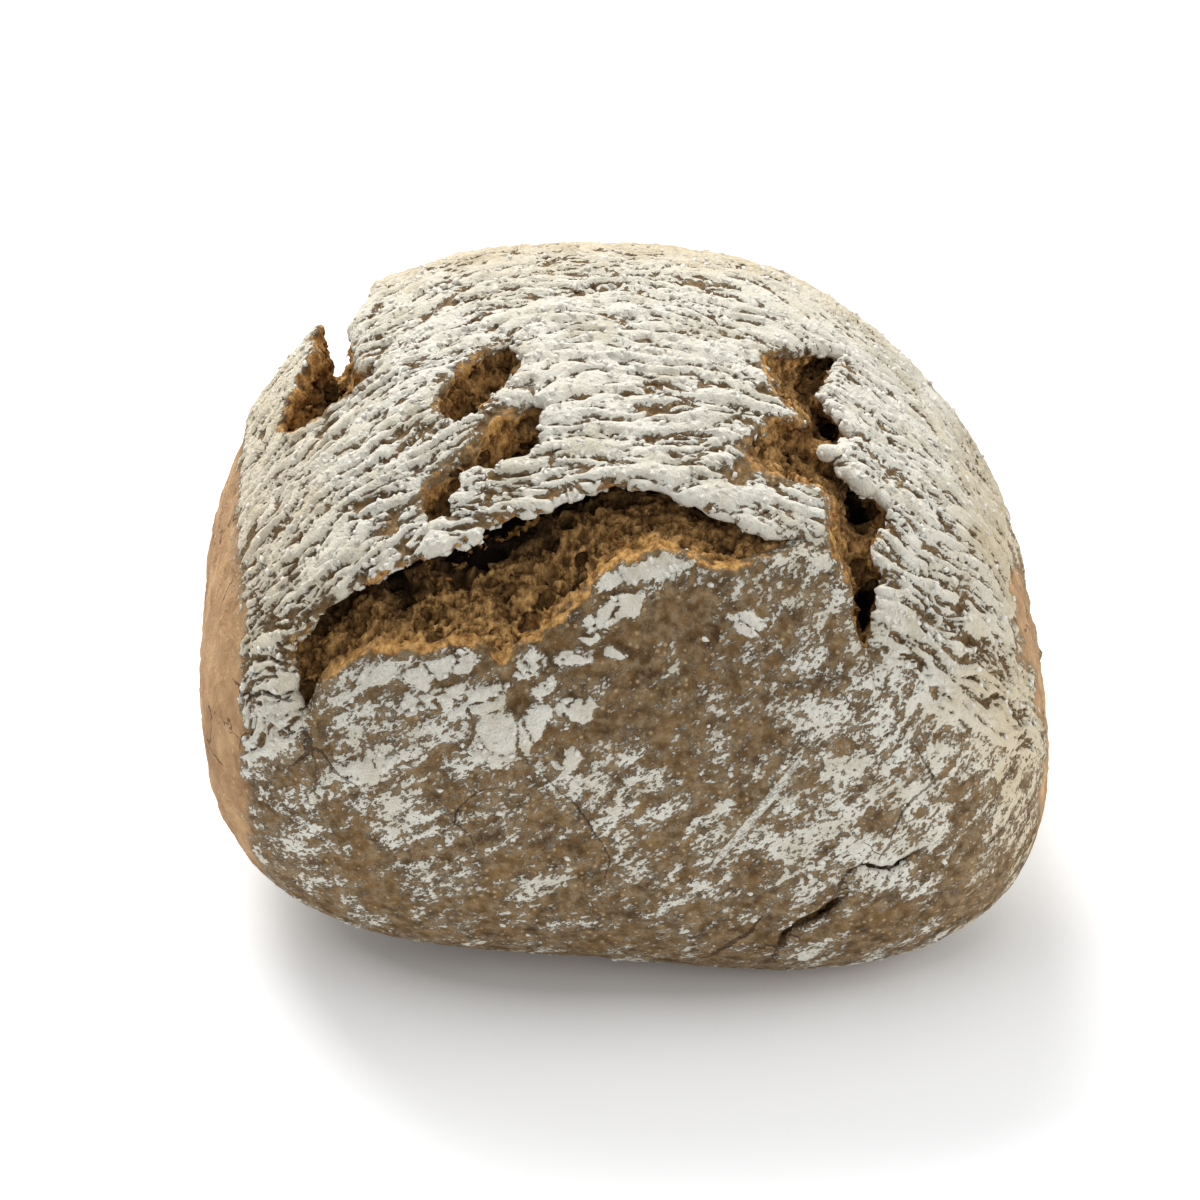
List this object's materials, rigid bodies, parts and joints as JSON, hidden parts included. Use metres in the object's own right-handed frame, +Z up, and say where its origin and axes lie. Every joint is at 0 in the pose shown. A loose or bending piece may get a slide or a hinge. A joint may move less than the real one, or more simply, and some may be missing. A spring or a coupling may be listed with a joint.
{
  "type": "bread roll",
  "caption": "Rustic baked bread roll, squarish in plan with a domed, flour-caked top that tore open in ragged splits, standing on its flat base.",
  "frame": {"origin": "on the surface that the roll stands on, under the middle of the roll's box", "axes": "+Z up out of the domed top, -Y out of the long front side below the main split, +X to the right as seen from that side"},
  "size_m": [0.0982, 0.088, 0.0639],
  "materials": {
    "crust": "matte",
    "flour": "matte"
  },
  "bodies": {
    "root": {"bread_roll": "crust"}
  },
  "joints": []
}
